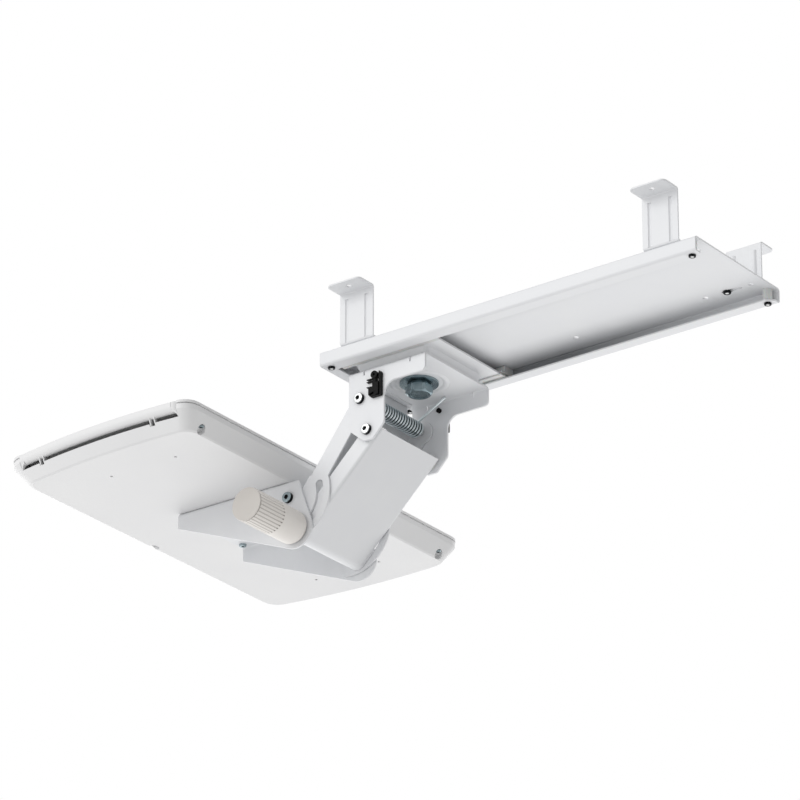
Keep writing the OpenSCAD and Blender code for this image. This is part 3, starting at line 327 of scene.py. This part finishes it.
# Socket highlight: a near-white, half-metallic colour painted into a socket as a highlight.
# It shows as a white point.
socket_painted_highlight, tree, shader, place = new_material("painted_socket_highlight", 0.4, 0.55)
highlight_mottle = add_node(tree, "ShaderNodeTexNoise", {"Vector": place, "Scale": 1 / (1 * mm), "Detail": 2.0})
film = add_node(tree, "ShaderNodeMixRGB", {
    0: highlight_mottle.outputs["Fac"], 1: from_hex("#f0f1f1"), 2: from_hex("#fdfdfd")})
join_up(tree, shader, film)
foot_x, foot_ys, foot_seat, nut_seat = 58 * mm, (-231 * mm, 223 * mm), -73 * mm, -69 * mm
set_out(
    socket_screw("foot_screw", black_oxide, socket_painted_highlight, black_oxide, head_r=5 * mm, head_h=2.8 * mm,
                 key_r=2.5 * mm, key_depth=0.7 * mm, shank_r=3 * mm, shank_l=11 * mm),
    [Matrix.Translation((side * foot_x, y, foot_seat)) for side in (-1, 1) for y in foot_ys],
    "bracket_screws", "track", "foot_screws")


def hexagon_nut(name, plating, across, height, bore_r, ring=None, ring_r=0.0, ring_h=0.0):
    """A chamfered nut that stands above z = 0, with a locking ring on top where one is given."""
    corner_r = across / math.sqrt(3)
    chamfer, over, sunk, ring_round = 0.12 * corner_r, 1.001, 0.2 * mm, 0.4 * ring_h
    nut = add_round(6, corner_r, height, height / 2)
    nut.name = name
    give(nut, plating)
    turned = add_round(48, corner_r * over, height * (2 * over - 1), height / 2, open_as="turned")
    pick_faces(turned, lambda normal: abs(normal.z) > flat)
    bpy.ops.mesh.bevel(offset=chamfer, segments=2, profile=0.5, affect="EDGES")
    bpy.ops.object.mode_set(mode="OBJECT")
    give(turned, plating)
    carve(nut, turned, "INTERSECT")
    drill = add_round(32, bore_r, 4 * height, height / 2)
    give(drill, plating)
    carve(nut, drill, "DIFFERENCE")
    if ring:
        collar = add_round(48, ring_r, ring_h + sunk, height + (ring_h - sunk) / 2, open_as="collar")
        pick_faces(collar, lambda normal: normal.z > flat)
        bpy.ops.mesh.bevel(offset=ring_round, segments=3, profile=0.5, affect="EDGES")
        bpy.ops.object.mode_set(mode="OBJECT")
        give(collar, ring)
        drill = add_round(32, bore_r, 4 * height, height)
        give(drill, ring)
        carve(collar, drill, "DIFFERENCE")
        select_only(collar, nut)
        bpy.ops.object.join()
    select_only(nut)
    bpy.ops.object.shade_smooth_by_angle(angle=crease)
    return nut


# Blue-passivated zinc: a bright plating under a thin chromate film, faintly blue-green and uneven.
# It gives soft, broad highlights with a cold tint; the film's clouds are about 8 mm across.
zinc, tree, shader, place = new_material("blue_passivated_zinc", 1.0, 0.3)
clouds = add_node(tree, "ShaderNodeTexNoise", {"Vector": place, "Scale": 1 / (8 * mm), "Detail": 3.0})
film = add_node(tree, "ShaderNodeMixRGB", {
    0: clouds.outputs["Fac"], 1: from_hex("#8b9aa0"), 2: from_hex("#b7c4c8")})
grit = add_node(tree, "ShaderNodeTexNoise", {"Vector": place, "Scale": 1 / (1.5 * mm), "Detail": 2.0})
gloss = add_node(tree, "ShaderNodeMapRange", {"Value": grit.outputs["Fac"], "To Min": 0.18, "To Max": 0.42})
skin = add_node(tree, "ShaderNodeBump", {
    "Strength": 0.15, "Distance": 0.05 * mm, "Height": grit.outputs["Fac"]})
join_up(tree, shader, film, gloss, skin)
set_out(
    hexagon_nut("foot_nut", zinc, across=10 * mm, height=5 * mm, bore_r=3.04 * mm),
    [Matrix.Translation((side * foot_x, y, nut_seat)) for side in (-1, 1) for y in foot_ys],
    "bracket_nuts", "track", "foot_nuts")

# The stops: four nylon rollers between the track's web and its lips, where the glides stop.
# Each is held by a small black-oxide screw with a near-white highlight painted into its socket.
# Natural nylon: milky and a little translucent, moulded smooth, so its edges glow softly.
nylon, tree, shader, place = new_material("natural_nylon", 0.0, 0.45)
shader.inputs["Subsurface Weight"].default_value = 0.15
shader.inputs["Subsurface Scale"].default_value = 2 * mm
clouds = add_node(tree, "ShaderNodeTexNoise", {"Vector": place, "Scale": 1 / (6 * mm), "Detail": 2.0})
milk = add_node(tree, "ShaderNodeMixRGB", {
    0: clouds.outputs["Fac"], 1: from_hex("#cfd0cf"), 2: from_hex("#e2e3e1")})
rounded = add_node(tree, "ShaderNodeBevel", {"Radius": 0.4 * mm}, samples=4)
skin = add_node(tree, "ShaderNodeBump", {
    "Strength": 0.1, "Distance": 0.1 * mm, "Height": clouds.outputs["Fac"], "Normal": rounded.outputs[0]})
join_up(tree, shader, milk, None, skin)
paint(["stop_bumpers"], nylon)
stop_x, stop_ys, stop_seat = 83 * mm, (-273 * mm, 265 * mm), -91 * mm
set_out(
    socket_screw("stop_screw", black_oxide, socket_painted_highlight, black_oxide, head_r=4.6 * mm, head_h=2.6 * mm,
                 key_r=2.3 * mm, key_depth=0.7 * mm, shank_r=2.5 * mm, shank_l=12 * mm),
    [Matrix.Translation((side * stop_x, y, stop_seat)) for side in (-1, 1) for y in stop_ys],
    "roller_screws", "track", "stop_screws")

# The carriage: a pressed plate with a shallow tub, on two nylon glides that run on the track's lips.
# The swivel bearing is a nylon ring between the tub and the head.
paint(["carriage_plate"], powder)
paint(["glide_right", "glide_left", "swivel_bearing"], nylon)

# The swivel: an M20 bolt with a chamfered hexagon head and a dished face, a wide washer and a thin nut.
# They are turned from steel and zinc plated, and the nut inside the carriage's tub holds the head up.
swivel_y = -198.5 * mm
# Turned zinc: the same plating over turned faces, darker. The tool's rings round the bolt's axis streak its
# highlights; they are finer, and are drawn 2.4 mm apart.
rings_a_length = 3.15  # a wave texture draws about this many rings in the length that its scale stands for
turned_zinc, tree, shader, place = new_material("turned_zinc", 1.0, 0.28)
axis_place = add_node(tree, "ShaderNodeMapping", {"Vector": place, "Location": (0, -swivel_y, 0)})
rings = add_node(tree, "ShaderNodeTexWave", {
    "Vector": axis_place.outputs[0], "Scale": 1 / (rings_a_length * 2.4 * mm),
    "Distortion": 0.6, "Detail": 1.0},
    wave_type="RINGS", rings_direction="Z")
clouds = add_node(tree, "ShaderNodeTexNoise", {"Vector": place, "Scale": 1 / (14 * mm), "Detail": 3.0})
film = add_node(tree, "ShaderNodeMixRGB", {
    0: clouds.outputs["Fac"], 1: from_hex("#6f8088"), 2: from_hex("#a3b2b6")})
gloss = add_node(tree, "ShaderNodeMapRange", {"Value": rings.outputs["Fac"], "To Min": 0.2, "To Max": 0.36})
rounded = add_node(tree, "ShaderNodeBevel", {"Radius": 0.6 * mm}, samples=4)
skin = add_node(tree, "ShaderNodeBump", {
    "Strength": 0.12, "Distance": 0.05 * mm, "Height": rings.outputs["Fac"], "Normal": rounded.outputs[0]})
join_up(tree, shader, film, gloss, skin)
paint(["swivel_bolt", "swivel_nut", "swivel_washer"], turned_zinc)

# The head: one folded sheet, a top plate with two cheeks, a front flange and a ring bead round the swivel.
# The cheeks' slots and corner reliefs are punched before folding, and the whole is powder coated.
paint(["head_bracket"], powder)

# The spring: one zinc-plated steel wire wound into twenty open coils on a nylon sleeve, with a leg at each end.
# One leg bears on the head's top plate, the other on the upper link's web, and it carries part of the tray.
paint(["spring_sleeve"], nylon)
pivot_y, pivot_z = -240 * mm, -137.6 * mm
coil_r, wire_r, coil_pitch, coil_count = 9.2 * mm, 1.8 * mm, 5.2 * mm, 20
coil_start, coil_turn = math.radians(118), math.radians(6998.14)
coil_x0 = -coil_count * coil_pitch / 2
points_a_turn = 28


def on_coil(turned):
    """The point of the wire's centreline after it has turned by an angle."""
    angle = coil_start - turned
    return Vector((coil_x0 + turned / (2 * math.pi) * coil_pitch,
                   pivot_y + coil_r * math.cos(angle), pivot_z + coil_r * math.sin(angle)))


leg_top = Vector((-52 * mm, -196.404 * mm, -104 * mm))
leg_low = Vector((49.084 * mm, -252.306 * mm, -166.465 * mm))
steps = int(coil_turn / (2 * math.pi) * points_a_turn)
top_bend, low_bend = 0.96, 0.92  # how far along a leg its bend into the coils lies
route = [leg_top, leg_top.lerp(on_coil(0), top_bend)]
route += [on_coil(coil_turn * i / steps) for i in range(steps + 1)]
route += [leg_low.lerp(on_coil(coil_turn), low_bend), leg_low]
wire = bpy.data.curves.new("spring_wire", "CURVE")
wire.dimensions = "3D"
wire.bevel_depth = wire_r
wire.bevel_resolution = 4
wire.use_fill_caps = True
line = wire.splines.new("POLY")
line.points.add(len(route) - 1)
for point, spot in zip(line.points, route):
    point.co = (*spot, 1)
spring = bpy.data.objects.new("wound_spring", wire)
bpy.context.scene.collection.objects.link(spring)
select_only(spring)
bpy.ops.object.convert(target="MESH")
spring = bpy.context.object
bpy.ops.object.shade_smooth_by_angle(angle=math.radians(50))
# Zinc-plated drawn wire: die marks run along the wire, so they follow circles round the spring's axis.
# Its coils' crests are painted bright as a highlight, and their flanks are painted dark as shade.
drawn_wire, tree, shader, place = new_material("zinc_plated_drawn_wire", 1.0, 0.3)
centred = add_node(tree, "ShaderNodeMapping", {"Vector": place, "Location": (0, -pivot_y, -pivot_z)})
parts = add_node(tree, "ShaderNodeSeparateXYZ", {0: centred.outputs[0]})
across = add_node(tree, "ShaderNodeCombineXYZ", {"Y": parts.outputs["Y"], "Z": parts.outputs["Z"]})
radius = add_node(tree, "ShaderNodeVectorMath", {0: across.outputs[0]}, operation="LENGTH")
marks_at = add_node(tree, "ShaderNodeCombineXYZ", {"X": parts.outputs["X"], "Y": radius.outputs["Value"]})
marks = add_node(tree, "ShaderNodeTexNoise", {
    "Vector": marks_at.outputs[0], "Scale": 1 / (0.7 * mm), "Detail": 2.0})
film = add_node(tree, "ShaderNodeMixRGB", {
    0: marks.outputs["Fac"], 1: from_hex("#98a6ac"), 2: from_hex("#c3ced2")})
crest_highlight = add_node(tree, "ShaderNodeMapRange", {
    "Value": radius.outputs["Value"], "From Min": coil_r + 0.55 * wire_r, "From Max": coil_r + wire_r})
flank_shade = add_node(tree, "ShaderNodeMapRange", {
    "Value": radius.outputs["Value"], "From Min": coil_r + 0.1 * wire_r, "From Max": coil_r + 0.75 * wire_r})
# The flanks' dark grey is painted shade, and the crests' near white is a painted highlight.
with_painted_shade = add_node(tree, "ShaderNodeMixRGB", {0: flank_shade.outputs[0], 1: from_hex("#2c3437"), 2: film.outputs[0]})
with_painted_highlight = add_node(tree, "ShaderNodeMixRGB", {0: crest_highlight.outputs[0], 1: with_painted_shade.outputs[0], 2: from_hex("#e9f0f2")})
gloss = add_node(tree, "ShaderNodeMapRange", {"Value": marks.outputs["Fac"], "To Min": 0.22, "To Max": 0.36})
skin = add_node(tree, "ShaderNodeBump", {
    "Strength": 0.15, "Distance": 0.05 * mm, "Height": marks.outputs["Fac"]})
join_up(tree, shader, with_painted_highlight, gloss, skin)
give(spring, drawn_wire)
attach(spring, "head")
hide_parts("torsion_spring")

# The cable clips: a spine with a hollow boss, two fins and a hook for the keyboard's cable, moulded in one.
# Each has a peg that is pushed through a hole in a cheek of the head, and its wider end holds it there.
# Black acetal: deep black and glossy from the mould, with flow marks 4 mm apart that break up its highlights.
acetal, tree, shader, place = new_material("black_acetal", 0.0, 0.3)
shader.inputs["Specular IOR Level"].default_value = 0.12
flow = add_node(tree, "ShaderNodeTexNoise", {"Vector": place, "Scale": 1 / (4 * mm), "Detail": 2.0})
resin = add_node(tree, "ShaderNodeMixRGB", {
    0: flow.outputs["Fac"], 1: from_hex("#030303"), 2: from_hex("#0b0c0d")})
gloss = add_node(tree, "ShaderNodeMapRange", {"Value": flow.outputs["Fac"], "To Min": 0.08, "To Max": 0.2})
rounded = add_node(tree, "ShaderNodeBevel", {"Radius": 0.5 * mm}, samples=4)
join_up(tree, shader, resin, gloss, rounded)
paint(["cable_clip_right", "cable_clip_left"], acetal)

# The pivots: three M8 socket bolts across the head and the tray bracket, with nylon-ring lock nuts on the left.
# The links turn on their shanks between thin nylon washers and spacers.
# Bright nickel: a smooth, warm white plating; its polishing marks are finer, and are drawn 2 mm apart.
nickel, tree, shader, place = new_material("bright_nickel_plate", 1.0, 0.22)
polish = add_node(tree, "ShaderNodeTexNoise", {"Vector": place, "Scale": 1 / (2 * mm), "Detail": 3.0})
film = add_node(tree, "ShaderNodeMixRGB", {
    0: polish.outputs["Fac"], 1: from_hex("#cfd2d3"), 2: from_hex("#f2f3f3")})
gloss = add_node(tree, "ShaderNodeMapRange", {"Value": polish.outputs["Fac"], "To Min": 0.15, "To Max": 0.34})
join_up(tree, shader, film, gloss)
# Socket shade: a near-black, dull colour painted into a socket as shade. It gives a black, dull hexagon.
recess, tree, shader, place = new_material("painted_socket_shade", 0.0, 0.6)
socket_shade_noise = add_node(tree, "ShaderNodeTexNoise", {"Vector": place, "Scale": 1 / (0.8 * mm), "Detail": 2.0})
film = add_node(tree, "ShaderNodeMixRGB", {
    0: socket_shade_noise.outputs["Fac"], 1: from_hex("#0c0d0e"), 2: from_hex("#2a2c2e")})
join_up(tree, shader, film)
upper, lower = (pivot_y, pivot_z), (-229 * mm, -182.1 * mm)
fin, stud = (-350.429 * mm, -243.498 * mm), (-339.429 * mm, -287.998 * mm)
side_x = 68 * mm


def along_x(x, spot):
    """A place on a pivot's line at x, with a piece's z axis turned to -X."""
    return Matrix.Translation((x, *spot)) @ Matrix.Rotation(math.radians(-90), 4, "Y")


# The pivot heads' sides take black oxide as painted shade, for the dark gap between each head and its cheek.
for name, body, node, spot, plating in (
        ("upper_pivot", "head", "upper_pivot_bolt", upper, nickel),
        ("lower_pivot", "head", "lower_pivot_bolt", lower, nickel),
        ("fin_pivot", "tray", "fin_pivot_bolt", fin, zinc)):
    set_out(
        socket_screw(name, plating, recess, black_oxide, head_r=7 * mm, head_h=5.2 * mm,
                     key_r=3.35 * mm, key_depth=3 * mm, shank_r=4 * mm, shank_l=144.4 * mm),
        [along_x(side_x, spot)], name + "_screw", body, node)
for name, body, node, spots in (
        ("head_lock_nuts", "head", "pivot_nuts", (upper, lower)),
        ("tray_lock_nut", "tray", "tray_nuts", (fin,))):
    set_out(
        hexagon_nut(name + "_one", zinc, across=13 * mm, height=6.4 * mm, bore_r=4.06 * mm,
                    ring=nylon, ring_r=5.7 * mm, ring_h=1.6 * mm),
        [along_x(-side_x, spot) for spot in spots], name, body, node)

# The links: a folded upper link with a web and two slotted sides, and a channel-shaped lower link under it.
# Both are sheet steel, pierced, folded and powder coated.
paint(["upper_link", "lower_link"], powder)
paint(["upper_link_washers", "lower_link_spacers"], nylon)

# The tray bracket: one folded sheet, a base plate under the tray with two fins, held by four M5 screws.
# It is powder coated; the screws, the clamp stud and the knob's washer are zinc plated.
paint(["tray_bracket"], powder)
paint(["clamp_stud", "knob_washer"], zinc)
plate_x, plate_ys, plate_seat = 54 * mm, (-518.43 * mm, -375.43 * mm), -223.298 * mm
set_out(
    socket_screw("plate_screw", zinc, recess, zinc, head_r=4.6 * mm, head_h=3 * mm,
                 key_r=1.9 * mm, key_depth=1.4 * mm, shank_r=2.5 * mm, shank_l=14 * mm),
    [Matrix.Translation((side * plate_x, y, plate_seat)) for side in (-1, 1) for y in plate_ys],
    "plate_screws", "tray", "tray_bracket_screws")

# The tray: a moulded tub with bowed sides, a flat board on top, and two side rails on small posts over a slot.
# Three screws in wells in the tub go up into the board, and hold the two together.
# Moulded ABS: a spark-eroded tool leaves a fine, even grain; it is about 0.5 mm, and is drawn at 2 mm.
abs_plastic, tree, shader, place = new_material("moulded_abs", 0.0, 0.5)
shader.inputs["IOR"].default_value = 1.54
grain = add_node(tree, "ShaderNodeTexNoise", {
    "Vector": place, "Scale": 1 / (2 * mm), "Detail": 2.0, "Roughness": 0.6})
clouds = add_node(tree, "ShaderNodeTexNoise", {"Vector": place, "Scale": 1 / (90 * mm), "Detail": 1.0})
resin = add_node(tree, "ShaderNodeMixRGB", {
    0: clouds.outputs["Fac"], 1: from_hex("#e4e4e5"), 2: from_hex("#eaeaea")})
gloss = add_node(tree, "ShaderNodeMapRange", {"Value": grain.outputs["Fac"], "To Min": 0.42, "To Max": 0.6})
rounded = add_node(tree, "ShaderNodeBevel", {"Radius": 0.4 * mm}, samples=4)
skin = add_node(tree, "ShaderNodeBump", {
    "Strength": 0.1, "Distance": 0.1 * mm, "Height": grain.outputs["Fac"], "Normal": rounded.outputs[0]})
join_up(tree, shader, resin, gloss, skin)
paint(["tray_shell", "tray_top_board", "side_rail_right", "side_rail_left"], abs_plastic)
well_spots, well_seat = ((246 * mm, -348.53 * mm), (-246 * mm, -348.53 * mm), (0, -622.03 * mm)), -209.298 * mm
set_out(
    socket_screw("well_screw", zinc, recess, zinc, head_r=3.2 * mm, head_h=2.4 * mm,
                 key_r=1.5 * mm, key_depth=1.2 * mm, shank_r=2 * mm, shank_l=18.4 * mm),
    [Matrix.Translation((x, y, well_seat)) for x, y in well_spots],
    "well_screws", "tray", "corner_screws")

# The clamp knob: a fluted moulding on a brass insert, closed by a cap; it draws the fins tight on the sector.
# Knob ABS: a warm light grey, moulded smooth in a polished tool, so it is a little glossier than the tray.
# The flutes are painted darker as shade, and darkest at their blind ends.
knob_r, flute_x0 = 22 * mm, 117 * mm
grip, tree, shader, place = new_material("polished_mould_abs", 0.0, 0.4)
clouds = add_node(tree, "ShaderNodeTexNoise", {"Vector": place, "Scale": 1 / (20 * mm), "Detail": 2.0})
resin = add_node(tree, "ShaderNodeMixRGB", {
    0: clouds.outputs["Fac"], 1: from_hex("#e2ddd7"), 2: from_hex("#eae6e1")})
gloss = add_node(tree, "ShaderNodeMapRange", {"Value": clouds.outputs["Fac"], "To Min": 0.34, "To Max": 0.46})
knob_place = add_node(tree, "ShaderNodeMapping", {"Vector": place, "Location": (0, -stud[0], -stud[1])})
parts = add_node(tree, "ShaderNodeSeparateXYZ", {0: knob_place.outputs[0]})
across = add_node(tree, "ShaderNodeCombineXYZ", {"Y": parts.outputs["Y"], "Z": parts.outputs["Z"]})
radius = add_node(tree, "ShaderNodeVectorMath", {0: across.outputs[0]}, operation="LENGTH")
in_flute = add_node(tree, "ShaderNodeMapRange", {
    "Value": radius.outputs["Value"], "From Min": knob_r - 0.15 * mm, "From Max": knob_r - 0.6 * mm})
past_neck = add_node(tree, "ShaderNodeMapRange", {
    "Value": parts.outputs["X"], "From Min": flute_x0 - 0.3 * mm, "From Max": flute_x0})
at_end = add_node(tree, "ShaderNodeMapRange", {
    "Value": parts.outputs["X"], "From Min": flute_x0 + 3 * mm, "From Max": flute_x0 + 1.5 * mm, "To Min": 0.45})
flute_shade = in_flute
for share in (past_neck, at_end):
    flute_shade = add_node(tree, "ShaderNodeMath", {0: flute_shade.outputs[0], 1: share.outputs[0]}, operation="MULTIPLY")
# The flutes' painted shade.
with_painted_shade = add_node(tree, "ShaderNodeMixRGB", {0: flute_shade.outputs[0], 1: resin.outputs[0], 2: from_hex("#918b84")})
join_up(tree, shader, with_painted_shade, gloss)
paint(["height_knob", "knob_cap"], grip)
# Turned brass: a yellow metal, with the tool's rings round the knob's axis drawn 1.6 mm apart.
brass, tree, shader, place = new_material("turned_brass", 1.0, 0.3)
knob_place = add_node(tree, "ShaderNodeMapping", {"Vector": place, "Location": (0, -stud[0], -stud[1])})
rings = add_node(tree, "ShaderNodeTexWave", {
    "Vector": knob_place.outputs[0], "Scale": 1 / (rings_a_length * 1.6 * mm)},
    wave_type="RINGS", rings_direction="X")
film = add_node(tree, "ShaderNodeMixRGB", {
    0: rings.outputs["Fac"], 1: from_hex("#b8914a"), 2: from_hex("#d5b572")})
join_up(tree, shader, film)
paint(["knob_insert"], brass)
